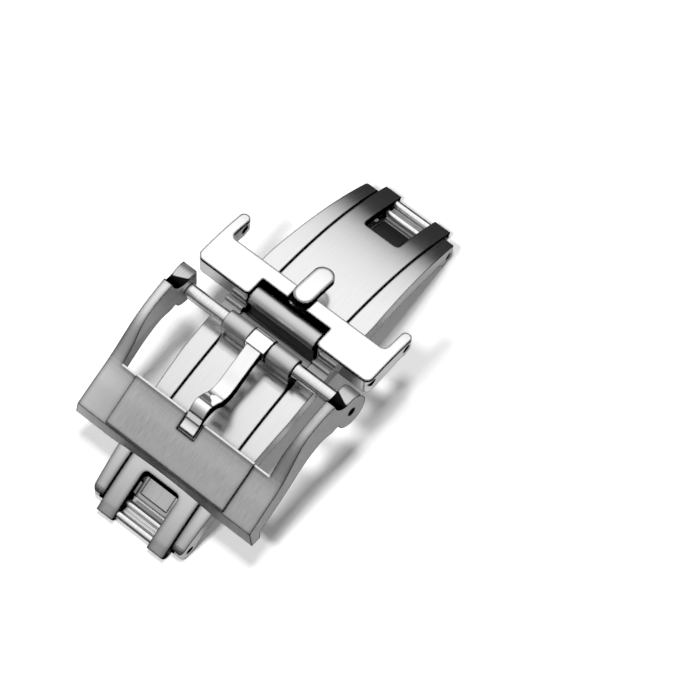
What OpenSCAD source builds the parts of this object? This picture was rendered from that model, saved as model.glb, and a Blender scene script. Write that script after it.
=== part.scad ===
// Double fold deployant clasp for a leather watch strap, closed.
// X runs across the strap, Y along it with the buckle at the near end, Z up from the wrist.
// The origin is in the middle of the clasp, on the surface that its hinge eyes stand on.

/* [Strap] */
// Width of the strap that the buckle takes
strap_w = 18; // [16:0.5:20]
// Width of the strap end between the arms of the end piece
strap_end_w = 20; // [18:0.1:21]
// Radius of the holes in the end piece's arms, at the strap end
strap_hole_r = 0.45; // [0.4:0.05:0.6]

/* [Base] */
// Radius of the arch, to the top of the rails
arch_r = 38; // [34:1:44]
// Width over the two rails
base_w = 13.6; // [12.6:0.1:15]
// Width of one rail
rail_w = 2.25; // [1.8:0.05:2.5]
// Height of a rail, square to the arch
rail_h = 2.1; // [2:0.05:2.4]
// Thickness of the floor between the rails
floor_t = 0.7; // [0.6:0.05:0.75]
// Distance from the middle of the clasp to a hinge pin
hinge_y = 21.5; // [20:0.5:23]
// Outer radius of a hinge eye
eye_r = 1.3; // [1.2:0.05:1.4]
// Length of the bridge in the middle, along the strap
bridge_l = 1.9; // [1.5:0.1:2]
// Distance from the middle at which the base starts to narrow
taper_y = 7; // [5:0.5:12]
// Taper of the base towards its ends, in degrees a side
base_taper = 3.2; // [0:0.1:4]
// Rounding of the corners at its ends
end_round_r = 0.6; // [0.3:0.05:1]
// Height of the two lips that the end piece closes behind
lip_h = 0.45; // [0.3:0.05:0.5]
// Thickness of a lip
lip_t = 0.4; // [0.3:0.05:0.5]

/* [Leaf springs] */
// Width of a leaf spring
leaf_w = 3.3; // [2.8:0.1:3.5]
// Thickness of a leaf spring
leaf_t = 0.3; // [0.2:0.05:0.35]
// Length of a leaf spring, along the arch
leaf_l = 9.5; // [8:0.5:11]
// Radius of a leaf spring's rivet
rivet_r = 0.5; // [0.4:0.05:0.6]

/* [Blades] */
// Thickness of a blade
blade_t = 1.2; // [1.1:0.05:1.25]
// Width of the notch between the lugs of a blade
notch_w = 4.6; // [4.2:0.1:5]
// Depth of the front blade's notch, from the ends of its lugs
notch_l = 5.4; // [4.8:0.1:6.2]
// Depth of the rear blade's notch
rear_notch_l = 7; // [4.8:0.1:7.2]
// Reach of the lugs beyond the hinge pin
lug_reach = 2.5; // [2.4:0.05:2.7]
// Distance from the hinge pin to the stop rod
stop_reach = 1.5; // [1.4:0.05:1.6]
// Radius of a hinge pin
hinge_pin_r = 0.42; // [0.35:0.01:0.5]
// Radius of a stop rod
stop_rod_r = 0.5; // [0.4:0.01:0.55]

/* [Buckle bar] */
// Distance from the middle of the clasp to the buckle bar
bar_y = 3; // [2.9:0.05:3.4]
// Height of the buckle bar's axis over the crown of the arch
bar_h = 2.6; // [2.2:0.1:3]
// Outer radius of the bar's tube
bar_r = 0.8; // [0.75:0.01:0.85]
// Bore radius of the tube
bar_bore_r = 0.56; // [0.5:0.01:0.6]
// Thickness of the tube's turned-in ends
bar_lip_t = 0.35; // [0.25:0.05:0.5]
// Radius of a plunger's tip
tip_r = 0.4; // [0.3:0.01:0.42]
// Length of a plunger's tip in its hole
tip_l = 1; // [0.8:0.05:1.2]
// Length of a plunger's shoulder inside the tube
shoulder_l = 2; // [1.5:0.1:3]
// Wire radius of the coil spring in the tube
wire_r = 0.09; // [0.06:0.01:0.11]
// Number of turns of that spring
coil_turns = 18; // [12:1:24]
// Outer radius of the knuckles that hold the tube
knuckle_r = 1.12; // [1.08:0.01:1.25]
// Distance from the middle to the inner end of a knuckle
knuckle_in = 1.3; // [1.2:0.05:1.5]
// Distance from the middle to the outer end of a knuckle
knuckle_out = 4.4; // [4:0.1:4.8]

/* [Buckle] */
// Length from the bar to the front edge
buckle_l = 15.5; // [14:0.5:17]
// Length of the front bar, along the strap
front_bar_l = 5.2; // [4.6:0.1:6]
// Thickness of a side arm, across the strap
arm_w = 2.05; // [1.9:0.05:2.6]
// Height of the arms' top over the bar
arm_rise = 3.9; // [3.2:0.1:4.4]
// Height of the arm at its middle
arm_h = 3.9; // [3.2:0.1:4.4]
// Outer radius of the eye round a bar hole
buckle_eye_r = 2; // [1.9:0.05:2.2]
// Radius of the scoop between the arm's top and that eye
scoop_r = 1.95; // [1.7:0.05:2.1]
// Width that an arm's inner side gives up between the bar and its top
arm_inset = 0.35; // [0.2:0.05:0.5]
// Rounding of an arm's inner corner at the bar
lug_round_r = 1.2; // [0.6:0.1:1.3]
// Thickness of the front bar
front_t = 1.9; // [1.6:0.1:2.4]
// Slope of the front bar, in degrees
front_slope = 32; // [28:1:35]
// Height of its front edge over the arch
front_h = 3.55; // [3.3:0.05:4]
// Height of the front face
front_face_h = 2.5; // [2.2:0.1:3]
// Width of the raised band on the front bar
band_w = 15.2; // [14:0.1:16]
// Height of that band
band_h = 0.35; // [0.2:0.05:0.6]
// Half width of the finger cut-out under the front face
finger_w = 6.5; // [5:0.5:7]
// Height of the finger cut-out
finger_h = 0.9; // [0.6:0.1:1.2]
// Lean of the buckle's outer sides, in degrees
side_lean = 7.5; // [6:0.5:9]
// Taper of the buckle towards its front edge, in degrees a side
side_taper = 3.4; // [2:0.2:5]

/* [Prong] */
// Width of the prong
prong_w = 1.8; // [1.5:0.1:2.1]
// Radius of the prong's eye
prong_eye_r = 1.2; // [1.1:0.05:1.3]
// Reach of the prong's tip over the front bar, along the strap
prong_lap = 1.5; // [1.2:0.1:1.8]
// Height of the prong's hump over its tip
prong_hump = 2; // [1.6:0.1:2.2]
// Depth of its dip below the bar's axis
prong_dip = 0.7; // [0.5:0.05:0.8]
// Depth of its groove in the raised band
groove_d = 0.45; // [0.3:0.05:0.6]
// Thickness of the prong at its tip
prong_t = 0.85; // [0.7:0.05:1]

/* [End piece] */
// Distance from the middle of the clasp to the end piece's front
end_front = 0.25; // [0.2:0.05:0.4]
// Length from its front to the edge between its arms
end_web_l = 4.2; // [4:0.1:4.8]
// Height of its front edge over the crown of the arch
end_h = 3.2; // [3:0.1:3.5]
// Radius of its domed top
end_top_r = 24; // [20:1:28]
// Slope of its top at the front edge, in degrees
end_slope = 4; // [2:0.5:6]
// Width of an arm, across the strap
end_arm_w = 1.15; // [1:0.05:1.5]
// Depth of an arm below the domed top
end_arm_h = 2.4; // [2.2:0.1:2.7]
// Distance from its front to the holes at the strap end
strap_hole_l = 6.45; // [6.2:0.05:6.8]
// Width of the notch round the barrel
end_notch_w = 8.8; // [8.6:0.1:9.4]
// Depth of that notch
end_notch_l = 2.4; // [2.3:0.05:2.6]
// Distance from its front to its pivot pin
pivot_l = 0.78; // [0.7:0.02:0.9]
// Height of the pivot pin over the crown of the arch
pivot_h = 2; // [1.8:0.1:2.2]
// Radius of the pivot pin
pivot_pin_r = 0.42; // [0.35:0.01:0.5]
// Outer radius of the rear blade's barrel
barrel_r = 1.03; // [0.95:0.01:1.1]
// Width of the tab over the strap end
tab_w = 2.3; // [2:0.1:2.6]
// Length of the tab
tab_l = 5.5; // [5:0.1:5.8]
// Height of the tab over the domed top
tab_h = 0.6; // [0.4:0.05:0.9]

/* [Clearances] */
// Gap between a blade and what lies beside it
side_gap = 0.2; // [0.15:0.01:0.3]
// Gap between a blade and the floor under it
floor_gap = 0.2; // [0.15:0.01:0.3]
// Gap under the pieces that rest over the rails
rest_gap = 0.15; // [0.1:0.01:0.25]
// Radial running clearance of a pin
run_gap = 0.03; // [0.02:0.005:0.05]
// Gap each side of the strap in the buckle
strap_gap = 0.5; // [0.2:0.05:0.6]
// Gap at the end of a knuckle, barrel or tube
end_gap = 0.1; // [0.05:0.01:0.2]
// Depth of a pin's end below the face it is pushed into
pin_recess = 0.25; // [0.15:0.05:0.4]

/* [Hidden] */
$fn = 96;
far = 60;
steel = "silver";
brushed = "gainsboro";
polished = "whitesmoke";

// The arch: all radii below are measured from its centre
hinge_r = arch_r - eye_r - 0.03;
hinge_a = asin(hinge_y / hinge_r);
hinge_z = eye_r;
arch_z = hinge_z - sqrt(hinge_r * hinge_r - hinge_y * hinge_y);
crown_z = arch_z + arch_r;
base_r = arch_r - rail_h;
floor_r = base_r + floor_t;
blade_r = arch_r - blade_t;
rail_in = base_w / 2 - rail_w;
blade_half = rail_in - side_gap;
arc_fn = 240;

// The hinge end of a blade
stop_drop = 11.6;
stop_y = hinge_y + stop_reach * cos(stop_drop);
stop_z = hinge_z - stop_reach * sin(stop_drop);
lug_a = asin((hinge_y + lug_reach) / arch_r);
stop_boss_r = stop_z - 0.08;
hinge_boss_r = hinge_z - 0.12;
base_end = hinge_y + eye_r;
lip_back = end_front - side_gap - 0.15;
base_end_half = base_w / 2 - (base_end - taper_y) * tan(base_taper);
pin_half = base_w / 2 - (hinge_y - taper_y) * tan(base_taper) - pin_recess;
lug_in = notch_w / 2;

// The tongue that stops the opened blade, and the cut that lets the lugs swing under
tongue_half = lug_in - side_gap;
tongue_a = hinge_a - 180 / PI * (stop_reach - stop_rod_r - 0.05) / base_r;
lug_cut_a = hinge_a - 180 / PI * (lug_reach + side_gap) / base_r;

// The bar, the barrel and the pivot
bar_z = crown_z + bar_h;
knuckle_bore_r = bar_r + run_gap;
knuckle_back = -bar_y + 0.4;
pivot_y = end_front + pivot_l;
pivot_z = crown_z + pivot_h;
barrel_half = end_notch_w / 2 - side_gap;
barrel_bore_r = pivot_pin_r + run_gap;
bridge_front = knuckle_back + side_gap + 0.2;
bridge_drop = 0.25;

// The buckle, seen from the side
open_half = strap_w / 2 + strap_gap;
lug_out = open_half + arm_w - 0.05;
front_y = -bar_y - buckle_l;
front_top_z = crown_z - sagitta(-front_y) + front_h;
front_rise = tan(front_slope);
open_front_y = front_y + front_bar_l;
arm_top_z = bar_z + arm_rise;
tube_half = open_half - end_gap;
prong_tip_y = open_front_y - prong_lap;
prong_l = -bar_y - prong_tip_y;
tip_hole_r = tip_r + 0.05;

// The end piece
web_back = end_front + end_web_l;
end_arm_in = strap_end_w / 2;
end_half = end_arm_in + end_arm_w;
top_y = end_front - end_top_r * sin(end_slope);
top_z = crown_z + end_h - end_top_r * cos(end_slope);
strap_hole_y = end_front + strap_hole_l;
strap_hole_z = top_z + sqrt(pow(end_top_r - end_arm_h / 2, 2) - pow(strap_hole_y - top_y, 2));
arm_tip_r = end_arm_h / 2;
tab_y = end_front + end_notch_l + end_gap;
tab_foot = 1.1;
tab_under = 0.3;

// How far the arch has dropped at a distance from the middle
function sagitta(y) = arch_r - sqrt(arch_r * arch_r - y * y);
// A smooth line through the given points, with n steps between two of them
function curve_at(a, b, c, d, t) = 0.5 * (2 * b + (c - a) * t
    + (2 * a - 5 * b + 4 * c - d) * t * t + (3 * b - a - 3 * c + d) * t * t * t);
function smooth(p, n = 6) = concat([for (i = [0 : len(p) - 2], k = [0 : n - 1])
    curve_at(p[max(i - 1, 0)], p[i], p[i + 1], p[min(i + 2, len(p) - 1)], k / n)],
    [p[len(p) - 1]]);

// A quarter of a circle that begins at angle a
function arc(x, y, r, a) = [for (i = [0 : 8]) [x + r * cos(a + i * 11.25), y + r * sin(a + i * 11.25)]];

// Carries a side outline, drawn with Y to the right and Z up, across the strap
module across(w) {
    rotate([90, 0, 90]) linear_extrude(height = w, center = true) children();
}

// The same on both sides, from x_in to x_out
module across_both(x_in, x_out) {
    for (s = [-1, 1])
        translate([s * (x_in + x_out) / 2, 0, 0])
            across(x_out - x_in) children();
}

// A round bar across the strap
module bar_across(y, z, r, w) {
    translate([0, y, z]) rotate([0, 90, 0]) cylinder(r = r, h = w, center = true);
}

// The part of a ring round the arch's centre between two angles from the top
module arch_band(r_in, r_out, a_from, a_to) {
    mid = (a_from + a_to) / 2;
    intersection() {
        translate([0, arch_z]) difference() {
            circle(r = r_out, $fn = arc_fn);
            circle(r = r_in, $fn = arc_fn);
        }
        translate([0, arch_z]) polygon([[0, 0],
            for (a = [a_from, (a_from + mid) / 2, mid, (mid + a_to) / 2, a_to])
                far * [sin(a), cos(a)]]);
    }
}

// What is left of a square corner outside its rounding
module corner(r) {
    difference() {
        square(r);
        translate([r, r]) circle(r = r);
    }
}

// Mirrors a piece of the rear half to the front
module front_half() {
    mirror([0, 1, 0]) children();
}

// One end of a rail, with its hinge eye and the scalloped neck before it
module rail_outline() {
    scallop_r = 0.8;
    scallop_a = hinge_a - 180 / PI * 2.15 / base_r;
    difference() {
        union() {
            arch_band(base_r, arch_r, -hinge_a, hinge_a);
            for (s = [-1, 1]) translate([s * hinge_y, hinge_z]) circle(r = eye_r);
        }
        for (s = [-1, 1])
            translate([s * (base_r - 0.5) * sin(scallop_a), arch_z + (base_r - 0.5) * cos(scallop_a)])
                circle(r = scallop_r);
    }
}

// Where a leaf spring lies along the arch, in degrees from the top
leaf_end_a = tongue_a - 180 / PI * 0.65 / base_r;
leaf_start_a = leaf_end_a - 180 / PI * leaf_l / base_r;

// A leaf spring's rivet, square to the arch
module rivet(r, over = 0) {
    rivet_a = tongue_a - 180 / PI * (leaf_l - 0.6) / base_r;
    translate([0, 0, arch_z]) rotate([-rivet_a, 0, 0])
        translate([0, 0, base_r - over]) cylinder(r = r, h = floor_t + 2 * over);
}

module leaf_spring() {
    difference() {
        across(leaf_w) arch_band(floor_r - leaf_t, floor_r, leaf_start_a, leaf_end_a);
        rivet(rivet_r, 1);
    }
}

// The base seen from above: it narrows towards its ends, which have rounded corners
module base_plan() {
    x = base_end_half - end_round_r;
    y = base_end - end_round_r;
    polygon(concat([[base_w / 2, -taper_y], [base_w / 2, taper_y]],
        arc(x, y, end_round_r, 0), arc(-x, y, end_round_r, 90),
        [[-base_w / 2, taper_y], [-base_w / 2, -taper_y]],
        arc(-x, -y, end_round_r, 180), arc(x, -y, end_round_r, 270)));
}

// What is open between the rails: all but the floor and the bridge
module between_rails() {
    difference() {
        translate([-far, 0]) square([2 * far, far]);
        arch_band(base_r - 1, floor_r, -tongue_a, tongue_a);
        intersection() {
            arch_band(base_r - 1, arch_r - bridge_drop, -20, 20);
            translate([bridge_front, 0]) square([bridge_l, far]);
        }
    }
}

// Room beside the tongue for the lugs to swing under the floor
module tongue_sides() {
    lug_cut_y = floor_r * sin(lug_cut_a);
    for (s = [-1, 1], t = [0, 1])
        mirror([0, t, 0]) translate([s * (tongue_half + rail_in) / 2, lug_cut_y + far / 2, 0])
            cube([rail_in - tongue_half, far, 2 * far], center = true);
}

// The bed is open towards the blade and at the tongue's end
module leaf_bed() {
    arch_band(floor_r - leaf_t, floor_r + 0.2, leaf_start_a, leaf_end_a + 0.1);
}

module base_frame() {
    color(steel) difference() {
        intersection() {
            across(base_w) {
                rail_outline();
                translate([lip_back - lip_t, crown_z - 0.3]) square([lip_t, lip_h + 0.3]);
            }
            linear_extrude(height = far) base_plan();
        }
        across(2 * rail_in) between_rails();
        tongue_sides();
        across(leaf_w + 2 * run_gap) leaf_bed();
        front_half() across(leaf_w + 2 * run_gap) leaf_bed();
        rivet(rivet_r, 1);
        front_half() rivet(rivet_r, 1);
        for (s = [-1, 1]) bar_across(s * hinge_y, hinge_z, hinge_pin_r, far);
    }
}

module leaf_rivets() {
    color(steel) {
        rivet(rivet_r);
        front_half() rivet(rivet_r);
    }
}

module hinge_pin() {
    bar_across(hinge_y, hinge_z, hinge_pin_r, 2 * pin_half);
}

module stop_rod() {
    bar_across(stop_y, stop_z, stop_rod_r, 2 * (blade_half - pin_recess / 2));
}

// Side outline of a blade from near the middle to the ends of its lugs
module blade_outline(a_from) {
    arch_band(blade_r, arch_r, a_from, lug_a);
    translate([hinge_y, hinge_z]) circle(r = hinge_boss_r);
    translate([stop_y, stop_z]) circle(r = stop_boss_r);
}

// The hinge end of a blade, with its notch and its two bores
module blade_plate(a_from, depth) {
    notch_r = 0.5;
    notch_y = hinge_y + lug_reach - depth;
    difference() {
        across(2 * blade_half) blade_outline(a_from);
        linear_extrude(height = 2 * far, center = true) {
            translate([-lug_in, notch_y + notch_r]) square([2 * lug_in, far]);
            translate([-lug_in + notch_r, notch_y]) square([2 * (lug_in - notch_r), far]);
            for (s = [-1, 1]) translate([s * (lug_in - notch_r), notch_y + notch_r]) circle(r = notch_r);
        }
        bar_across(hinge_y, hinge_z, hinge_pin_r + run_gap, far);
        bar_across(stop_y, stop_z, stop_rod_r, far);
    }
}

// The front blade rises in a neck to the two knuckles that hold the bar
module front_neck() {
    fillet_r = 1.5;
    neck_front = -bar_y - knuckle_r + 0.12;
    foot_y = neck_front - fillet_r;
    foot_z = crown_z - sagitta(foot_y) + fillet_r - 0.03;
    difference() {
        union() {
            translate([foot_y, crown_z - 1.5]) square([knuckle_back - foot_y, foot_z - crown_z + 1.5]);
            translate([neck_front, crown_z]) square([knuckle_back - neck_front, bar_h]);
        }
        translate([foot_y, foot_z]) circle(r = fillet_r);
        translate([0, arch_z]) circle(r = blade_r, $fn = arc_fn);
    }
}

module front_blade() {
    prong_room = prong_eye_r + side_gap;
    color(steel) difference() {
        union() {
            front_half() blade_plate(asin((0.6 - knuckle_back) / arch_r), notch_l);
            across(2 * blade_half) front_neck();
            across_both(knuckle_in, knuckle_out) translate([-bar_y, bar_z]) circle(r = knuckle_r);
        }
        bar_across(-bar_y, bar_z, knuckle_bore_r, far);
        bar_across(-bar_y, bar_z, prong_room, 2 * knuckle_in);
        translate([-knuckle_in, -bar_y - far, bar_z - prong_room / 2])
            cube([2 * knuckle_in, 2 * far, far]);
    }
}

// The rear blade ends in the barrel that the end piece turns on
module rear_neck() {
    fillet_r = 0.45;
    neck_back = pivot_y + 0.75;
    neck_front = pivot_y - 0.65;
    top = crown_z - sagitta(neck_back + fillet_r) - 0.03;
    difference() {
        union() {
            translate([neck_front, crown_z - 1.5]) square([neck_back - neck_front, pivot_h + 1.5]);
            translate([neck_back, crown_z - 1]) square([fillet_r, 1 - 0.05 + fillet_r]);
        }
        translate([neck_back + fillet_r, top + fillet_r]) circle(r = fillet_r);
        translate([0, arch_z]) circle(r = blade_r, $fn = arc_fn);
    }
}

module rear_blade() {
    color(steel) difference() {
        union() {
            blade_plate(asin(pivot_y / arch_r), rear_notch_l);
            across(2 * barrel_half) {
                rear_neck();
                translate([pivot_y, pivot_z]) circle(r = barrel_r);
            }
        }
        bar_across(pivot_y, pivot_z, barrel_bore_r, far);
    }
}

// Top and underside of a buckle arm, from the front edge to over the bar
arm_top = [[front_y, front_top_z],
    [front_y + 2.5, front_top_z + 2.5 * front_rise],
    [open_front_y, front_top_z + front_bar_l * front_rise],
    [open_front_y + 3.2, arm_top_z - 1.3],
    [-bar_y - 5, arm_top_z - 0.3],
    [-bar_y - 2.6, arm_top_z],
    [-bar_y - 0.9, arm_top_z - 0.4]];
arm_under = [[-bar_y - 2.9, bar_z - 0.3],
    [-bar_y - 4.6, arm_top_z - arm_h],
    [open_front_y + 3.2, arm_top_z - 0.9 - arm_h],
    [open_front_y, front_top_z + front_bar_l * front_rise - front_t - 0.5],
    [front_y + 1.4, front_top_z + 0.6 - front_t]];

module buckle_outline() {
    face_z = front_top_z - front_face_h;
    difference() {
        union() {
            polygon(concat(smooth(arm_top), [[-bar_y, bar_z]], smooth(arm_under),
                [[front_y + 1.2, face_z], [front_y, face_z]]));
            translate([-bar_y, bar_z]) circle(r = buckle_eye_r);
        }
        translate([-bar_y, bar_z + buckle_eye_r + scoop_r - 0.05]) circle(r = scoop_r);
        translate([0, arch_z]) circle(r = arch_r + rest_gap, $fn = arc_fn);
    }
}

// Takes the corners off the bar end of an arm, seen from above
module lug_corners() {
    for (s = [0, 1]) mirror([s, 0]) {
        translate([open_half - 0.02, buckle_eye_r - bar_y + 0.02]) mirror([0, 1]) corner(lug_round_r);
        translate([lug_out, buckle_eye_r - bar_y + 0.02]) rotate(180) corner(0.65 * lug_round_r);
    }
}

// A block whose outer face leans in towards the top and the front
module lean_side(s) {
    translate([0, -bar_y, bar_z]) rotate([0, -s * side_lean, -s * side_taper])
        translate([s * (lug_out - far), 0, 0]) cube([2 * far, 3 * far, 3 * far], center = true);
}

// The opening for the strap; above the bar its sides lean out towards the arms' tops
module opening() {
    lean_z = bar_z + knuckle_r;
    wide_half = open_half + arm_inset;
    translate([0, open_front_y, 0]) rotate([-90, 0, 0]) mirror([0, 1]) linear_extrude(height = far)
        polygon([[-open_half, -far], [open_half, -far], [open_half, lean_z], [wide_half, arm_top_z],
            [wide_half, far], [-wide_half, far], [-wide_half, arm_top_z], [-open_half, lean_z]]);
}

module buckle_frame() {
    groove_end = prong_tip_y - end_gap;
    groove_w = prong_w + 0.4;
    finger_r = (finger_w * finger_w + finger_h * finger_h) / (2 * finger_h);
    face_z = front_top_z - front_face_h;
    color(brushed) difference() {
        intersection() {
            union() {
                across(2 * far) buckle_outline();
                across(band_w) intersection() {
                    translate([0, band_h]) buckle_outline();
                    translate([front_y + 0.15, 0]) square([front_bar_l + 1, far]);
                }
            }
            lean_side(1);
            lean_side(-1);
        }
        opening();
        bar_across(-bar_y, bar_z, tip_hole_r, far);
        translate([0, front_y, face_z + finger_h - finger_r]) rotate([90, 0, 0])
            cylinder(r = finger_r, h = front_bar_l, center = true, $fn = arc_fn);
        linear_extrude(height = 2 * far, center = true) lug_corners();
        translate([-groove_w / 2, groove_end, groove_z(groove_end)])
            rotate([front_slope, 0, 0]) cube([groove_w, far, far]);
    }
}

module bar_tube() {
    color(polished) difference() {
        bar_across(-bar_y, bar_z, bar_r, 2 * tube_half);
        bar_across(-bar_y, bar_z, bar_bore_r, 2 * (tube_half - bar_lip_t));
        bar_across(-bar_y, bar_z, tip_r + run_gap, far);
    }
}

// A plunger: its tip is in the arm's hole and its shoulder behind the tube's turned-in end
module plunger(s) {
    shoulder_x = tube_half - bar_lip_t - run_gap;
    translate([0, -bar_y, bar_z]) rotate([0, s * 90, 0]) {
        translate([0, 0, shoulder_x - shoulder_l]) cylinder(r = bar_bore_r - run_gap, h = shoulder_l);
        translate([0, 0, shoulder_x - 0.1]) cylinder(r = tip_r, h = open_half + tip_l - shoulder_x + 0.1);
    }
}

module bar_plunger_left() { color(steel) plunger(-1); }
module bar_plunger_right() { color(steel) plunger(1); }

// One unbroken round wire along a helix, as rings joined by triangles
module bar_spring() {
    sides = 6;
    rings_a_turn = 8;
    coil_half = tube_half - bar_lip_t - run_gap - shoulder_l;
    mean_r = bar_bore_r - run_gap - wire_r - 0.02;
    n = coil_turns * rings_a_turn;
    length = 2 * (coil_half - wire_r);
    points = [for (i = [0 : n], k = [0 : sides - 1])
        let (a = 360 * i / rings_a_turn, b = 360 * k / sides, r = mean_r + wire_r * cos(b))
            [length * (i / n - 0.5) + wire_r * sin(b), r * cos(a), r * sin(a)]];
    walls = [for (i = [0 : n - 1], k = [0 : sides - 1])
        let (p = i * sides + k, q = i * sides + (k + 1) % sides)
            each [[p, q, q + sides], [p, q + sides, p + sides]]];
    ends = [[for (k = [0 : sides - 1]) sides - 1 - k], [for (k = [0 : sides - 1]) n * sides + k]];
    color(steel) translate([0, -bar_y, bar_z]) polyhedron(points, concat(walls, ends));
}

// The prong dips after its eye, humps over and lies in the groove of the front bar
tip_z = groove_z(prong_tip_y) + 0.08;
prong_top = [prong_point(0, tip_z + 0.76 * prong_t),
    prong_point(0.076, tip_z + prong_t + 0.16 * prong_hump),
    prong_point(0.134, tip_z + prong_t + 0.65 * prong_hump),
    prong_point(0.218, tip_z + prong_t + prong_hump),
    prong_point(0.311, tip_z + prong_t + 0.65 * prong_hump),
    prong_point(0.395, bar_z - 0.5 * prong_dip),
    prong_point(0.504, bar_z - prong_dip),
    prong_point(0.664, bar_z),
    prong_point(0.832, bar_z + 0.62 * prong_eye_r),
    prong_point(0.908, bar_z + 0.92 * prong_eye_r)];
prong_bottom = [prong_point(0.924, bar_z - 0.62 * prong_eye_r),
    prong_point(0.815, bar_z - 0.5 * prong_eye_r),
    prong_point(0.681, bar_z - prong_dip - 0.82 * prong_t),
    prong_point(0.538, bar_z - prong_dip - 1.75 * prong_t),
    prong_point(0.412, bar_z - 0.5 * prong_dip - 1.94 * prong_t),
    prong_point(0.319, tip_z + 0.4 * prong_hump),
    prong_point(0.227, tip_z + 0.62 * prong_hump),
    prong_point(0.134, groove_z(prong_y(0.134)) + 0.16),
    prong_point(0.067, groove_z(prong_y(0.067)) + 0.12),
    prong_point(0, tip_z)];

// A point of the prong's outline, a part of its length behind the tip
function prong_y(part) = prong_tip_y + part * prong_l;
function prong_point(part, z) = [prong_y(part), z];

// Height of the bottom of the prong's groove in the front bar
function groove_z(y) = front_top_z + band_h - groove_d + (y - front_y) * front_rise;

module prong() {
    eye_half = knuckle_in - end_gap;
    color(polished) difference() {
        union() {
            across(prong_w) polygon(concat(smooth(prong_top), smooth(prong_bottom)));
            across(2 * eye_half) {
                translate([-bar_y, bar_z]) circle(r = prong_eye_r);
                translate([-bar_y - prong_eye_r, bar_z]) square([prong_eye_r, prong_eye_r]);
            }
        }
        bar_across(-bar_y, bar_z, bar_r + run_gap, far);
    }
}

// The end piece seen from above: a web, two arms and the notch round the barrel
module end_plan() {
    round_r = 0.8;
    fillet_r = 0.6;
    difference() {
        union() {
            translate([-end_half, end_front]) square([2 * end_half, end_web_l]);
            for (s = [-1, 1]) translate([s * (end_arm_in + end_arm_w / 2), 0]) {
                translate([-end_arm_w / 2, web_back - 0.1])
                    square([end_arm_w, strap_hole_l + arm_tip_r - end_web_l - end_arm_w / 2 + 0.1]);
                translate([0, end_front + strap_hole_l + arm_tip_r - end_arm_w / 2]) circle(d = end_arm_w);
            }
            for (s = [0, 1]) mirror([s, 0])
                translate([end_arm_in, web_back]) mirror([1, 0]) corner(fillet_r);
        }
        translate([-end_notch_w / 2, end_front - 1]) square([end_notch_w, end_notch_l + 1]);
        for (s = [0, 1]) mirror([s, 0]) {
            translate([end_half, end_front]) mirror([1, 0]) corner(round_r);
            translate([end_notch_w / 2, end_front]) corner(0.5);
        }
    }
}

module end_side() {
    skirt_r = pivot_h - rest_gap;
    difference() {
        intersection() {
            translate([top_y, top_z]) circle(r = end_top_r, $fn = arc_fn);
            translate([end_front - 1, crown_z - 3]) square([far, far]);
        }
        translate([0, arch_z]) circle(r = arch_r + rest_gap, $fn = arc_fn);
        difference() {
            translate([end_front - 1, crown_z - 3]) square([pivot_y - end_front + 1, pivot_h + 3]);
            translate([pivot_y, pivot_z]) circle(r = skirt_r);
        }
    }
}

// An arm goes on past the web, down to its round end at the strap end's hole
module end_arm_side() {
    translate([strap_hole_y, strap_hole_z]) circle(r = arm_tip_r);
    intersection() {
        translate([top_y, top_z]) difference() {
            circle(r = end_top_r, $fn = arc_fn);
            circle(r = end_top_r - end_arm_h, $fn = arc_fn);
        }
        translate([pivot_y, crown_z - 3]) square([strap_hole_l - pivot_l, far]);
    }
}

// A band that follows the domed top, between two heights over it and two places along it
module top_band(low, high, y_from, y_to) {
    intersection() {
        translate([top_y, top_z]) difference() {
            circle(r = end_top_r + high, $fn = arc_fn);
            circle(r = end_top_r + low, $fn = arc_fn);
        }
        translate([y_from, 0]) square([y_to - y_from, far]);
    }
}

module end_piece() {
    color(polished) difference() {
        intersection() {
            linear_extrude(height = far) end_plan();
            union() {
                across(2 * end_half) end_side();
                across_both(end_arm_in, end_half) end_arm_side();
            }
        }
        bar_across(pivot_y, pivot_z, pivot_pin_r, far);
        bar_across(strap_hole_y, strap_hole_z, strap_hole_r, far);
        across(tab_w + 2 * run_gap) top_band(-tab_foot, 1, end_front + 1, web_back + 1);
    }
}

module end_piece_tab() {
    round_r = tab_w / 2;
    color(polished) intersection() {
        across(tab_w) {
            top_band(-tab_under, tab_h, tab_y, tab_y + tab_l);
            top_band(-tab_foot, 0, tab_y + 0.4, web_back - end_gap);
        }
        linear_extrude(height = far) {
            for (y = [tab_y + round_r, tab_y + tab_l - round_r]) translate([0, y]) circle(r = round_r);
            translate([-round_r, tab_y + round_r]) square([tab_w, tab_l - tab_w]);
        }
    }
}

module pivot_pin() {
    color(steel) bar_across(pivot_y, pivot_z, pivot_pin_r, 2 * (end_half - pin_recess));
}

module front_leaf_spring() { color(brushed) front_half() leaf_spring(); }
module rear_leaf_spring() { color(brushed) leaf_spring(); }
module front_hinge_pin() { color(steel) front_half() hinge_pin(); }
module rear_hinge_pin() { color(steel) hinge_pin(); }
module front_stop_rod() { color(steel) front_half() stop_rod(); }
module rear_stop_rod() { color(steel) stop_rod(); }

base_frame();
front_leaf_spring();
rear_leaf_spring();
leaf_rivets();
front_hinge_pin();
rear_hinge_pin();
front_blade();
front_stop_rod();
rear_blade();
rear_stop_rod();
buckle_frame();
bar_tube();
bar_plunger_left();
bar_plunger_right();
bar_spring();
prong();
end_piece();
end_piece_tab();
pivot_pin();
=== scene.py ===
import math

import bmesh
import bpy
from mathutils import Matrix, Vector


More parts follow.
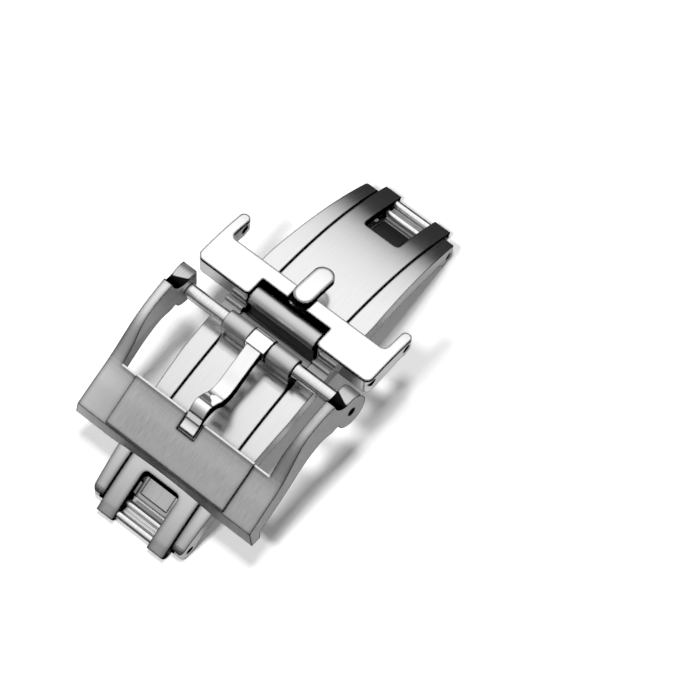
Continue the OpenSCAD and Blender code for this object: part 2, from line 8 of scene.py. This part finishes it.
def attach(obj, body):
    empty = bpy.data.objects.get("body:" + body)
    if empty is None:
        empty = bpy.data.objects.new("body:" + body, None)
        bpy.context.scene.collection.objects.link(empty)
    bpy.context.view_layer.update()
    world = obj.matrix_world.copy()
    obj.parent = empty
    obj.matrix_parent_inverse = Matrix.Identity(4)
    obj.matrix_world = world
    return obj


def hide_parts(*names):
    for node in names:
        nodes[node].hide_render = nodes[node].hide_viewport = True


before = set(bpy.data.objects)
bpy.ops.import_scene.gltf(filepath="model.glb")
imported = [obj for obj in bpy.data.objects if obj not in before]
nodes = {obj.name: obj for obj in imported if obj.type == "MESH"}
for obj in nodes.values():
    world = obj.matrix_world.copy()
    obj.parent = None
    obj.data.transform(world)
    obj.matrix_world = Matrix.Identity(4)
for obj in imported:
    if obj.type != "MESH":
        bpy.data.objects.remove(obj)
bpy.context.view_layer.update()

MM = 0.001

# The clasp's measures, all in millimetres: X runs across the strap, Y along it and Z up.
# The arch: the height of its crown over the table, its radius and the height of its middle
CROWN_Z = 9.594
ARCH_R = 38.0
ARCH_Z = CROWN_Z - ARCH_R
# Lines across the strap that pieces turn on or are cut round, each as its Y and Z
BAR_LINE = (-3.0, 12.194)
PIVOT_LINE = (1.03, 11.594)
SCOOP_LINE = (-3.0, 16.094)
END_TOP_LINE = (-1.424, -11.148)
# Round forms on such lines, each with a radius just outside its own
KNUCKLES = (*BAR_LINE, 1.42)
BARREL = (*PIVOT_LINE, 1.06)
BUCKLE_EYES = (*BAR_LINE, 2.03)
EYE_BORES = (*BAR_LINE, 0.48)
PIVOT_BORES = (*PIVOT_LINE, 0.46)
STRAP_BORES = (6.7, 10.156, 0.49)
NEAR_HINGE_BORES = (-21.5, 1.3, 0.46)
FAR_HINGE_BORES = (21.5, 1.3, 0.46)
# How far the mask of a round form fades out beyond its radius
FADE = 0.03
# The scoops in the buckle: their radius, how far their outer ends lie from the middle, and how much
# further back they reach for each millimetre towards it
SCOOP_R = 1.95
SCOOP_OUTER_X = 9.5
SCOOP_SLANT = 0.5
# The radius of the end piece's round top
END_TOP_R = 24.0


# ---------------------------------------------------------------- camera

def photo_camera():
    """The photograph's own view: from the front right, steep, with a long lens."""
    elevation, azimuth, roll = (math.radians(v) for v in (65.68, 36.09, -3.2))
    distance, focal_px, frame_px = 300 * MM, 2943.8, 700
    crown_px = Vector((279.47, 333.76))
    right = Vector((math.cos(azimuth), math.sin(azimuth), 0))
    ahead = Vector((-math.sin(azimuth), math.cos(azimuth), 0))
    up = ahead * math.sin(elevation) + Vector((0, 0, math.cos(elevation)))
    back = -ahead * math.cos(elevation) + Vector((0, 0, math.sin(elevation)))
    rolled_right = right * math.cos(roll) - up * math.sin(roll)
    rolled_up = right * math.sin(roll) + up * math.cos(roll)
    turned = Matrix((rolled_right, rolled_up, back)).transposed()
    # The crown of the arch lies off the middle of the picture, so the camera swings that far
    middle = Vector((frame_px / 2 - crown_px.x, crown_px.y - frame_px / 2, -focal_px))
    swing = Vector((0, 0, -1)).rotation_difference(middle.normalized())
    data = bpy.data.cameras.new("photo_camera")
    data.sensor_width = 36
    data.lens = focal_px / frame_px * data.sensor_width
    data.clip_start, data.clip_end = 0.01, 20
    camera = bpy.data.objects.new("photo_camera", data)
    bpy.context.scene.collection.objects.link(camera)
    camera.rotation_mode = "QUATERNION"
    camera.rotation_quaternion = turned.to_quaternion() @ swing
    camera.location = Vector((0, 0, CROWN_Z * MM)) + back * distance
    bpy.context.scene.camera = camera


photo_camera()


# ---------------------------------------------------------------- building materials

def colour(hex_value):
    """An sRGB hex value as the linear colour that a shader takes."""
    parts = [int(hex_value[i:i + 2], 16) / 255 for i in (0, 2, 4)]
    linear = [p / 12.92 if p <= 0.04045 else ((p + 0.055) / 1.055) ** 2.4 for p in parts]
    return (*linear, 1)


def grey(level):
    """A level of light, from 0 to 1 or brighter, as a colour."""
    return (level, level, level, 1)


def empty_tree(owner):
    """The node tree of a new material or world, with nothing in it."""
    owner.use_nodes = True
    owner.node_tree.nodes.clear()
    return owner.node_tree


def add_node(tree, kind, settings=None, inputs=None):
    """Adds a node; settings are its properties, inputs the values or the sockets that feed it."""
    made = tree.nodes.new(kind)
    for name, value in (settings or {}).items():
        setattr(made, name, value)
    for name, value in (inputs or {}).items():
        if isinstance(value, bpy.types.NodeSocket):
            tree.links.new(value, made.inputs[name])
        else:
            made.inputs[name].default_value = value
    return made


# How many rays look for an edge near a point
EDGE_SAMPLES = 6


class Spot:
    """A point of a surface: where it lies, in millimetres, and which way the surface faces there.

    at and facing keep their sign. off_middle and faces_along don't: they are the same on the left
    and the right, and near and far."""

    def __init__(self, tree, edge_mm):
        self.tree = tree
        self.flat = add_node(tree, "ShaderNodeNewGeometry").outputs["Normal"]
        self.rounded = add_node(tree, "ShaderNodeBevel", {"samples": EDGE_SAMPLES}, {
            "Radius": edge_mm * MM}).outputs[0]
        coordinates = add_node(tree, "ShaderNodeTexCoord").outputs
        self.place = add_node(tree, "ShaderNodeVectorMath", {"operation": "SCALE"}, {
            0: coordinates["Object"], "Scale": 1 / MM}).outputs[0]
        measures = []
        for vector in (self.place, coordinates["Normal"]):
            unsigned = add_node(tree, "ShaderNodeVectorMath", {"operation": "ABSOLUTE"}, {
                0: vector}).outputs[0]
            for source in (vector, unsigned):
                measures.append(add_node(tree, "ShaderNodeSeparateXYZ", {}, {
                    "Vector": source}).outputs)
        self.at, self.off_middle, self.facing, self.faces_along = measures

    def where(self, *limits, inside=1.0):
        """A mask, inside another or of its own. Each limit is a measure, where the mask still is 0
        and where it is full; it is smooth between the two, and all the limits have to hold."""
        mask = inside
        for measure, none, full in limits:
            mask = add_node(self.tree, "ShaderNodeMapRange", {"interpolation_type": "SMOOTHSTEP"}, {
                "Value": measure, "From Min": none, "From Max": full, "To Max": mask}).outputs[0]
        return mask

    def flatness(self, rounded):
        """1 away from the edges, and less where the rounded surface leans from the flat one."""
        return add_node(self.tree, "ShaderNodeVectorMath", {"operation": "DOT_PRODUCT"}, {
            0: rounded, 1: self.flat}).outputs["Value"]

    def reach(self, y, z):
        """How far the point is from a line across the strap."""
        side_view = add_node(self.tree, "ShaderNodeVectorMath", {"operation": "MULTIPLY"}, {
            0: self.place, 1: (0, 1, 1)}).outputs[0]
        return add_node(self.tree, "ShaderNodeVectorMath", {"operation": "DISTANCE"}, {
            0: side_view, 1: (0, y, z)}).outputs["Value"]

    def on(self, *forms):
        """A mask of round forms across the strap, each given by its Y, its Z and its radius."""
        mask = 0.0
        for y, z, radius in forms:
            form = self.where((self.reach(y, z), radius + FADE, radius))
            mask = add_node(self.tree, "ShaderNodeMath", {"operation": "MAXIMUM"}, {
                0: mask, 1: form}).outputs[0]
        return mask


# ---------------------------------------------------------------- places on the clasp

# Where a mask starts and where it is full: by how flat the surface still is, for an edge painted
# dark and for a softly shaded one, by how much it faces up or down, for a wall, and up, for an
# upper face
DARK_EDGE = (0.992, 0.93)
SOFTENED = (1.0, 0.80)
UPRIGHT = (0.6, 0.35)
UPWARD = (0.35, 0.6)
# The radius of a soft edge. This and all limits on at, off_middle and reach are in millimetres
SOFT_EDGE = 1.0


def between(measure, low, high, fade):
    """The two limits of a mask that is full from low to high."""
    return (measure, low - fade, low), (measure, high + fade, high)


def dark_edge_shade(spot):
    """The narrow round along each edge, and the seam in each corner, where shade and dark
    reflections are painted.
    """
    return spot.where((spot.flatness(spot.rounded), *DARK_EDGE))


def soft_edges(spot):
    """A broad, soft shade along the edges of the upper faces."""
    broad = add_node(spot.tree, "ShaderNodeBevel", {"samples": EDGE_SAMPLES}, {
        "Radius": SOFT_EDGE * MM})
    return spot.where((spot.flatness(broad.outputs[0]), *SOFTENED), (spot.facing["Z"], *UPWARD))


def side_wall_shade(spot):
    """Walls that face left or right, and the ends of pins, painted dark as shade, and on the prong
    as a dark reflection.
    """
    return spot.where((spot.faces_along["X"], 0.80, 0.95))


# On the base, its blades and their leaf springs

def blade_edge_shade(spot):
    """The edges painted dark as shade and dark reflections, but for those at the far end, where
    they catch the light of the tent.
    """
    return spot.where((spot.at["Y"], 21, 19.5), inside=dark_edge_shade(spot))


def near_lug_edge_shade(spot):
    """A soft shade painted along the edges of the near lugs."""
    return spot.where((spot.at["Y"], -16, -18), inside=soft_edges(spot))


def gap_wall_shade(spot):
    """The upright walls in the gaps beside the blades and in their notches, painted dark as shade.
    """
    beside = spot.where((spot.faces_along["X"], 0.5, 0.7))
    notch = spot.where((spot.off_middle["Y"], 10, 11))
    either = add_node(spot.tree, "ShaderNodeMath", {"operation": "MAXIMUM"}, {0: beside, 1: notch})
    return spot.where((spot.faces_along["Z"], *UPRIGHT), (spot.off_middle["X"], 5.0, 4.95),
                      inside=either.outputs[0])


def rolled_ends(spot):
    """The knuckles round the buckle's bar and the barrel that the end piece turns on."""
    return spot.on(KNUCKLES, BARREL)


def shaded_middle(spot):
    """The bridge, the lips and the neck, which lie deep between the buckle's bar and the barrel."""
    y, z, radius = BARREL
    return spot.where(*between(spot.at["Y"], -2.3, 3.0, 0.3), (spot.off_middle["X"], 4.7, 4.5),
                      (spot.reach(y, z), radius, radius + FADE))


def lip_shade(spot):
    """The lips and the rails beside them, under the front of the end piece, painted an even, darker
    grey as their shade there.
    """
    return spot.where(*between(spot.at["Y"], -2.5, 0.8, 0.2), (spot.off_middle["X"], 4.6, 4.7))


def hinge_bore_shade(spot):
    """The holes for the hinge pins in the four eyes of the base, painted black as shade."""
    return spot.on(NEAR_HINGE_BORES, FAR_HINGE_BORES)


def far_notch_shade(spot):
    """The far half of the clasp, where the notch is deeper and the leaf spring is painted darker as
    shade.
    """
    return spot.where((spot.at["Y"], -1, 1))


# On the buckle

def left_end_highlight(spot):
    """The buckle's left end, painted lighter than the rest as a highlight."""
    return spot.where((spot.at["X"], -5, -13))


def eye_top_shade(spot):
    """The round tops of the buckle's eyes, painted a duller grey as shade over their bright
    reflection.
    """
    return spot.where((spot.at["Z"], 12.9, 13.6), inside=spot.on(BUCKLE_EYES))


def eye_bore_shade(spot):
    """The holes in the buckle's eyes for the ends of its bar, painted black as shade."""
    return spot.on(EYE_BORES)


def scoops(spot):
    """The polished scoops between the buckle's arms and its eyes, narrower towards the outside,
    painted black as a dark reflection.
    """
    slanted = add_node(spot.tree, "ShaderNodeMath", {"operation": "MULTIPLY_ADD"}, {
        0: spot.off_middle["X"], 1: SCOOP_SLANT, 2: spot.at["Y"]}).outputs[0]
    outer_end = SCOOP_LINE[0] + SCOOP_SLANT * SCOOP_OUTER_X
    return spot.where((slanted, outer_end + 0.40, outer_end + 0.25),
                      (spot.reach(*SCOOP_LINE), SCOOP_R + 0.16, SCOOP_R + 0.10))


def opening_highlight(spot):
    """A highlight painted on the edge at the front of the buckle's opening."""
    return spot.where(*between(spot.at["Y"], -13.47, -13.28, 0.02),
                      *between(spot.off_middle["X"], 1.2, 9.5, 0.05), (spot.facing["Z"], 0.5, 0.7))


def band_side_shade(spot):
    """The low walls beside the raised band on the front bar, painted black as shade."""
    return spot.where((spot.faces_along["X"], 0.25, 0.4), (spot.off_middle["X"], 8.05, 8.0),
                      (spot.at["Y"], -13.2, -13.4))


# On the end piece

def notch_wall_shade(spot):
    """The walls of the end piece's notch round the barrel, and the sides of its tab, painted black
    as shade.
    """
    return spot.where((spot.faces_along["Z"], *UPRIGHT), (spot.off_middle["X"], 4.6, 4.55))


def wall_rim_shade(spot):
    """The rim of the end piece's walls, just below its round top, painted black as a dark
    reflection.
    """
    return spot.where((spot.faces_along["Z"], 0.7, 0.5),
                      (spot.reach(*END_TOP_LINE), END_TOP_R - 0.55, END_TOP_R - 0.30))


def end_bore_shade(spot):
    """The end piece's holes for its pivot pin and for the strap's bar, painted black as shade."""
    return spot.on(PIVOT_BORES, STRAP_BORES)


# ---------------------------------------------------------------- materials

# The size of the faint clouds that vary every finish, and how deep lines are at full bump
CLOUD_SIZE = 3.5
LINE_DEPTH = 0.02
# How far one seed moves the lines along each axis, counted in lines
SEED_STEP = (1.0, 1.7, 0.6)


def steel(name, light, dark, roughness, spread, grain_mm, length, bump, seed, edge_mm, touches,
          contrast=1.0, rings=False):
    """A steel whose fine lines mix a light and a dark tone.

    The lines lie grain_mm apart and are length times as long, along the strap or as rings round a
    pin. A contrast over 1 sharpens them, bump raises them, and the seed moves them, so that no
    two finishes have the same ones. They and the clouds spread the roughness. Edges are shaded
    as rounds of edge_mm. Each touch is a place with the tone and the roughness it has there: a
    finish of its own, or painted shade, a painted highlight or a painted reflection."""
    material = bpy.data.materials.new(name)
    tree = empty_tree(material)
    spot = Spot(tree, edge_mm)
    if rings:
        way = spot.place
    else:
        # On side walls the lines lie one over the other, elsewhere side by side
        across = add_node(tree, "ShaderNodeMath", {"operation": "MULTIPLY_ADD"}, {
            0: spot.at["Z"], 1: spot.where((spot.faces_along["X"], 0.6, 0.8)), 2: spot.at["X"]})
        way = add_node(tree, "ShaderNodeCombineXYZ", {}, {
            "X": across.outputs[0], "Y": spot.at["Y"]}).outputs[0]
    lay = add_node(tree, "ShaderNodeMapping", {}, {
        "Vector": way, "Location": [seed * step for step in SEED_STEP],
        "Scale": (1 / grain_mm, 1 / (grain_mm * length), 1 / (grain_mm * length))})
    grain = add_node(tree, "ShaderNodeTexNoise", {}, {
        "Vector": lay.outputs["Vector"], "Scale": 1.0, "Detail": 3.0,
        "Roughness": 0.6}).outputs["Fac"]
    clouds = add_node(tree, "ShaderNodeTexNoise", {}, {
        "Vector": spot.place, "Scale": 1 / CLOUD_SIZE, "Detail": 2.0}).outputs["Fac"]
    lines = add_node(tree, "ShaderNodeMapRange", {}, {
        "Value": grain, "From Min": 0.5 - 0.5 / contrast, "From Max": 0.5 + 0.5 / contrast})
    tone = add_node(tree, "ShaderNodeMixRGB", {}, {
        "Fac": lines.outputs[0], "Color1": colour(dark), "Color2": colour(light)}).outputs[0]
    cloudy = add_node(tree, "ShaderNodeMath", {"operation": "MULTIPLY_ADD"}, {
        0: clouds, 1: spread, 2: roughness - spread / 2})
    rough = add_node(tree, "ShaderNodeMath", {"operation": "MULTIPLY_ADD", "use_clamp": True}, {
        0: grain, 1: spread, 2: cloudy.outputs[0]}).outputs[0]
    # Each touch mixes its tone and roughness in over its mask; most tones are painted shade,
    # highlights or reflections
    for place, touch_tone, touch_roughness in touches:
        mask = place(spot)
        tone = add_node(tree, "ShaderNodeMixRGB", {}, {
            "Fac": mask, "Color1": tone, "Color2": colour(touch_tone)}).outputs[0]
        rough = add_node(tree, "ShaderNodeMapRange", {}, {
            "Value": mask, "To Min": rough, "To Max": touch_roughness}).outputs[0]
    raised = add_node(tree, "ShaderNodeBump", {}, {
        "Strength": bump, "Distance": LINE_DEPTH * MM, "Height": grain, "Normal": spot.rounded})
    # The tint keeps a dark tone dark where metal is seen edge on
    shader = add_node(tree, "ShaderNodeBsdfPrincipled", {}, {
        "Base Color": tone, "Specular Tint": tone, "Metallic": 1.0, "Roughness": rough,
        "Normal": raised.outputs["Normal"]})
    add_node(tree, "ShaderNodeOutputMaterial", {}, {"Surface": shader.outputs[0]})
    return material


# Stainless steel brushed along the strap with a 180 grit belt, whose lines lie 0.085 mm apart:
# short parallel lines that spread the light, so that the buckle is an even mid grey. Its left end
# is painted lighter as a highlight, its edges, walls and bores carry painted shade, the front edge
# of its opening a painted highlight, and the scoops by its eyes are polished and painted black as a
# dark reflection
brushed_buckle = steel(
    "brushed_stainless_steel", light="E2E2E2", dark="A2A2A2", roughness=0.40, spread=0.10,
    grain_mm=0.085, length=14, bump=0.5, contrast=1.1, seed=0.0, edge_mm=0.28, touches=[
        (left_end_highlight, "ECECEC", 0.44), (soft_edges, "808080", 0.35), (eye_top_shade, "C8C8C8", 0.38),
        (dark_edge_shade, "1C1C1C", 0.30), (band_side_shade, "101010", 0.3), (opening_highlight, "FFFFFF", 0.55),
        (scoops, "121212", 0.15), (eye_bore_shade, "0A0A0A", 0.6)])

# The same steel satined along the strap with a 400 grit belt: it shines softly, so that light and
# shade run along the arch. Its lines, 0.03 mm apart, don't show and are made 0.10 mm apart
satin_blade = steel(
    "satin_stainless_steel", light="E8E8E8", dark="DADADA", roughness=0.17, spread=0.05,
    grain_mm=0.10, length=30, bump=0.10, seed=3.0, edge_mm=0.24, touches=[
        # Most of its touches are painted shade: in the middle, on the edges of the blades and the
        # near lugs, on the lips, in the gaps and in the bores
        (shaded_middle, "9C9C9C", 0.35), (rolled_ends, "CCCCCC", 0.36),
        (near_lug_edge_shade, "7C7C7C", 0.30), (blade_edge_shade, "262626", 0.25),
        (lip_shade, "B8B8B8", 0.45), (gap_wall_shade, "262626", 0.3), (hinge_bore_shade, "080808", 0.6)])

# Stainless steel polished on a wheel to a mirror, which leaves no lines but waves of 0.6 mm: white
# where it meets a light, painted black as dark reflections along its edges and wall rims and as
# shade in its notch walls and bores. The wheel rounds the tab's edges more
MIRROR = dict(light="F6F6F6", dark="F0F0F0", roughness=0.05, spread=0.02, grain_mm=0.6, length=1,
              bump=0.01, seed=5.0)
mirror = steel("mirror_polished_stainless_steel", **MIRROR, edge_mm=0.36, touches=[
    (dark_edge_shade, "0C0C0C", 0.12), (wall_rim_shade, "080808", 0.15), (notch_wall_shade, "141414", 0.15),
    (end_bore_shade, "060606", 0.6)])
mirror_tab = steel("mirror_polished_stainless_steel_tab", **MIRROR, edge_mm=0.62, touches=[
    (dark_edge_shade, "0C0C0C", 0.12), (notch_wall_shade, "141414", 0.15)])

# The prong's steel, polished by hand: waves of 0.5 mm, as bright as the mirror, with its edges and
# sides painted black as a dark reflection
mirror_prong = steel(
    "hand_polished_stainless_steel", light="FFFFFF", dark="F6F6F6", roughness=0.07, spread=0.03,
    grain_mm=0.5, length=1, bump=0.02, seed=6.0, edge_mm=0.20, touches=[
        (dark_edge_shade, "101010", 0.12), (side_wall_shade, "202020", 0.15)])

# Stainless steel turned on a lathe: bright, with rings round the pin. The tool's rings, 0.05 mm
# apart, are made 0.09 mm apart to show. The pins' ends are painted dark as the shade of their bores
turned_pin = steel(
    "turned_stainless_steel", light="F0F0F0", dark="D4D4D4", roughness=0.13, spread=0.04,
    grain_mm=0.09, length=12, bump=0.08, contrast=1.6, rings=True, seed=7.0, edge_mm=0.05,
    touches=[(side_wall_shade, "3C3C3C", 0.3)])

# Drawn stainless steel rod, ground round, for the hinge pins and the stops: bright and even, with
# a satin skin. The stone's rings, too fine to show, are made 0.08 mm apart
drawn_rod = steel(
    "drawn_stainless_steel", light="FFFFFF", dark="DCDCDC", roughness=0.22, spread=0.05,
    grain_mm=0.08, length=16, bump=0.08, contrast=1.4, rings=True, seed=8.0, edge_mm=0.05,
    # The rods' ends, which face left and right, are painted darker as shade
    touches=[(side_wall_shade, "6C6C6C", 0.4)])

# Spring steel strip, rolled lengthways: a duller grey with streaks 0.12 mm apart, painted darker
# as shade where it lies in the deeper notch
spring_strip = steel(
    "rolled_spring_steel", light="F0F0F0", dark="D8D8D8", roughness=0.50, spread=0.08,
    grain_mm=0.12, length=18, bump=0.2, contrast=1.5, seed=9.0, edge_mm=0.05,
    touches=[(far_notch_shade, "505050", 0.4)])


# ---------------------------------------------------------------- the clasp

FINISH = {
    "base_frame": satin_blade, "front_blade": satin_blade, "rear_blade": satin_blade,
    "buckle_frame": brushed_buckle, "prong": mirror_prong,
    "end_piece": mirror, "end_piece_tab": mirror_tab,
    "bar_tube": turned_pin, "bar_plunger_left": turned_pin, "bar_plunger_right": turned_pin,
    "pivot_pin": turned_pin, "leaf_rivets": turned_pin,
    "front_hinge_pin": drawn_rod, "rear_hinge_pin": drawn_rod,
    "front_stop_rod": drawn_rod, "rear_stop_rod": drawn_rod,
    "front_leaf_spring": spring_strip, "rear_leaf_spring": spring_strip,
    "bar_spring": spring_strip,
}
# Where the blades' lugs begin, how near to each other points are merged, how near to the arch a
# face is taken to lie on it, and the angle in degrees from which an edge stays hard
LUGS_Y = 20.5
MERGED = 0.0005
ON_ARCH = 0.02
HARD_EDGE = 30


def flush_lugs(name):
    """A blade whose lug ends are ground flush with its arch, in place of the plain solid."""
    piece = bpy.data.objects.new(name + "_ground", nodes[name].data.copy())
    mesh = piece.data
    mesh.name = piece.name
    bpy.context.scene.collection.objects.link(piece)
    shape = bmesh.new()
    shape.from_mesh(mesh)
    bmesh.ops.remove_doubles(shape, verts=shape.verts, dist=MERGED * MM)
    for point in shape.verts:
        y, z = point.co.y / MM, point.co.z / MM - ARCH_Z
        reach = math.hypot(y, z)
        if abs(y) > LUGS_Y and reach > ARCH_R:
            point.co.y *= ARCH_R / reach
            point.co.z = (z * ARCH_R / reach + ARCH_Z) * MM
    bmesh.ops.dissolve_degenerate(shape, edges=shape.edges, dist=MERGED * MM)
    shape.to_mesh(mesh)
    shape.free()
    arch_shading(mesh)
    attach(piece, name)
    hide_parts(name)
    return piece


def arch_shading(mesh):
    """Shades the top of a blade as the true arch, and the rest smooth between its hard edges."""
    for face in mesh.polygons:
        face.use_smooth = True
    mesh.set_sharp_from_angle(angle=math.radians(HARD_EDGE))
    facing = [normal.vector.copy() for normal in mesh.corner_normals]
    middle = Vector((0, 0, ARCH_Z * MM))
    for face in mesh.polygons:
        spokes = [mesh.vertices[i].co - middle for i in face.vertices]
        on_arch = all(abs(math.hypot(s.y, s.z) / MM - ARCH_R) < ON_ARCH for s in spokes)
        if on_arch and face.normal.z > 0.5:
            for corner, spoke in zip(face.loop_indices, spokes):
                facing[corner] = Vector((0, spoke.y, spoke.z)).normalized()
    mesh.normals_split_custom_set(facing)


# The CAD nodes keep their own exact normals; their materials round the edges
for name, material in FINISH.items():
    dressed = [nodes[name]]
    if name in ("front_blade", "rear_blade"):
        dressed.append(flush_lugs(name))
    for piece in dressed:
        piece.data.materials.clear()
        piece.data.materials.append(material)


# ---------------------------------------------------------------- studio

# The even light that the table gets from all round, what it then lacks to be white, and how light
# it is in metal
FILL = 0.12
TABLE_LIFT = 0.12
MIRRORED_TABLE = 0.58
# The tent that metal mirrors: how bright it is, and its greys by height over the table, by how far
# to the left or right, from the front (0) to the back (1), and from the left (0) to the right (1).
# Its dark band low down is only ahead and behind; to the left and the right it is mid grey
TENT = 1.2
TENT_BY_HEIGHT = [(0.0, 0.03), (0.14, 0.05), (0.21, 0.33), (0.30, 0.65), (0.40, 0.81),
                  (0.50, 0.91), (0.65, 1.0)]
TENT_WINGS = [(0.35, 0.0), (0.65, 0.38)]
TENT_TO_BACK = [(0.02, 0.36), (0.10, 0.50), (0.16, 0.62), (0.20, 0.68), (0.26, 0.78),
                (0.335, 0.85), (0.50, 0.94), (0.60, 1.0)]
TENT_TO_RIGHT = [(0.0, 0.95), (0.5, 1.0), (0.8, 0.82), (1.0, 0.62)]
# The lamps that light the table, each with its place, width and depth in metres, and its watts.
# The key stands high at the front, so the shadows fall towards the back
SOFTBOXES = [("key_softbox", (-0.032, -0.255, 0.43), 0.07, 0.05, 1.16),
             ("top_softbox", (-0.010, 0.0, 0.50), 0.08, 0.08, 1.24)]
# Black cards that only metal sees, by their corners in millimetres, and how bright their black is.
# The flag stands behind the far end. The others lie on the table at either end of the clasp, and
# keep its white out of the ends' edges
CARD_BLACK = 0.04
CARDS = {
    "back_flag": [(-60, 30, 0.1), (60, 30, 0.1), (-60, 32, 7), (60, 32, 7)],
    "back_card": [(-14, 24.6, 0.1), (14, 24.6, 0.1), (-14, 60, 0.1), (14, 60, 0.1)],
    "front_card": [(-14, -60, 0.1), (14, -60, 0.1), (-14, -24.6, 0.1), (14, -24.6, 0.1)],
}


def ray_kinds(tree):
    """Whether a ray comes straight to the camera or through glass, and whether by way of metal."""
    path = add_node(tree, "ShaderNodeLightPath").outputs
    straight = add_node(tree, "ShaderNodeMath", {"operation": "ADD", "use_clamp": True}, {
        0: path["Is Camera Ray"], 1: path["Is Transmission Ray"]}).outputs[0]
    return straight, path["Is Glossy Ray"]


def table():
    """A table that the camera sees as white as the studio, and metal a good deal darker."""
    bpy.ops.object.select_all(action="DESELECT")
    bpy.ops.mesh.primitive_plane_add(size=12, location=(0, 0, 0))
    plane = bpy.context.object
    plane.name = "floor"
    material = bpy.data.materials.new("white_table")
    tree = empty_tree(material)
    straight, mirrored = ray_kinds(tree)
    tone = add_node(tree, "ShaderNodeMixRGB", {}, {
        "Fac": mirrored, "Color1": grey(1), "Color2": grey(MIRRORED_TABLE)})
    matt = add_node(tree, "ShaderNodeBsdfDiffuse", {}, {"Color": tone.outputs[0]})
    lift = add_node(tree, "ShaderNodeMath", {"operation": "MULTIPLY"}, {
        0: straight, 1: TABLE_LIFT})
    glow = add_node(tree, "ShaderNodeEmission", {}, {
        "Color": grey(1), "Strength": lift.outputs[0]})
    both = add_node(tree, "ShaderNodeAddShader", {}, {0: matt.outputs[0], 1: glow.outputs[0]})
    add_node(tree, "ShaderNodeOutputMaterial", {}, {"Surface": both.outputs[0]})
    plane.data.materials.append(material)


def studio():
    """White all round for the camera, the tent for metal and an even light for the table."""
    world = bpy.data.worlds.new("white_studio")
    bpy.context.scene.world = world
    tree = empty_tree(world)
    straight, mirrored = ray_kinds(tree)
    look = add_node(tree, "ShaderNodeTexCoord").outputs["Generated"]
    way = add_node(tree, "ShaderNodeSeparateXYZ", {}, {"Vector": look}).outputs
    sideways = add_node(tree, "ShaderNodeMath", {"operation": "ABSOLUTE"}, {0: way["X"]})
    to_right, to_back = (add_node(tree, "ShaderNodeMapRange", {}, {
        "Value": way[axis], "From Min": -1.0, "From Max": 1.0}) for axis in ("X", "Y"))
    shades = [("MULTIPLY", way["Z"], TENT_BY_HEIGHT), ("LIGHTEN", sideways.outputs[0], TENT_WINGS),
              ("MULTIPLY", to_back.outputs[0], TENT_TO_BACK),
              ("MULTIPLY", to_right.outputs[0], TENT_TO_RIGHT)]
    tent = grey(1)
    for blend, measure, stops in shades:
        ramp = add_node(tree, "ShaderNodeValToRGB", {}, {"Fac": measure})
        band = ramp.color_ramp
        while len(band.elements) < len(stops):
            band.elements.new(0.5)
        for element, (position, level) in zip(band.elements, stops):
            element.position = position
            element.color = grey(level)
        tent = add_node(tree, "ShaderNodeMixRGB", {"blend_type": blend}, {
            "Fac": 1.0, "Color1": tent, "Color2": ramp.outputs["Color"]}).outputs[0]
    bright = add_node(tree, "ShaderNodeMixRGB", {"blend_type": "MULTIPLY"}, {
        "Fac": 1.0, "Color1": tent, "Color2": grey(TENT)})
    unseen = add_node(tree, "ShaderNodeMixRGB", {}, {
        "Fac": mirrored, "Color1": grey(FILL), "Color2": bright.outputs[0]})
    shown = add_node(tree, "ShaderNodeMixRGB", {}, {
        "Fac": straight, "Color1": unseen.outputs[0], "Color2": grey(1)})
    light = add_node(tree, "ShaderNodeBackground", {}, {
        "Color": shown.outputs[0], "Strength": 1.0})
    add_node(tree, "ShaderNodeOutputWorld", {}, {"Surface": light.outputs[0]})


def softbox(name, place, width, depth, watts):
    """A lamp that lights the table and isn't mirrored; what metal mirrors is the tent."""
    light = bpy.data.lights.new(name, "AREA")
    light.shape, light.size, light.size_y = "RECTANGLE", width, depth
    light.energy = watts
    lamp = bpy.data.objects.new(name, light)
    bpy.context.scene.collection.objects.link(lamp)
    lamp.location = place
    lamp.rotation_mode = "QUATERNION"
    lamp.rotation_quaternion = (-lamp.location).to_track_quat("-Z", "Y")
    lamp.visible_glossy = False


def black_card(name, corners_mm):
    """A black card beside the clasp that only metal sees."""
    bpy.ops.object.select_all(action="DESELECT")
    bpy.ops.mesh.primitive_plane_add(size=1, location=(0, 0, 0))
    card = bpy.context.object
    card.name = name
    for vertex, corner in zip(card.data.vertices, corners_mm):
        vertex.co = Vector(corner) * MM
    material = bpy.data.materials.new(name + "_black")
    tree = empty_tree(material)
    black = add_node(tree, "ShaderNodeEmission", {}, {"Color": grey(1), "Strength": CARD_BLACK})
    add_node(tree, "ShaderNodeOutputMaterial", {}, {"Surface": black.outputs[0]})
    card.data.materials.append(material)
    card.visible_camera = card.visible_diffuse = False
    card.visible_transmission = card.visible_shadow = False


table()
studio()
for lamp in SOFTBOXES:
    softbox(*lamp)
for name, corners in CARDS.items():
    black_card(name, corners)
bpy.context.scene.view_settings.view_transform = "Standard"
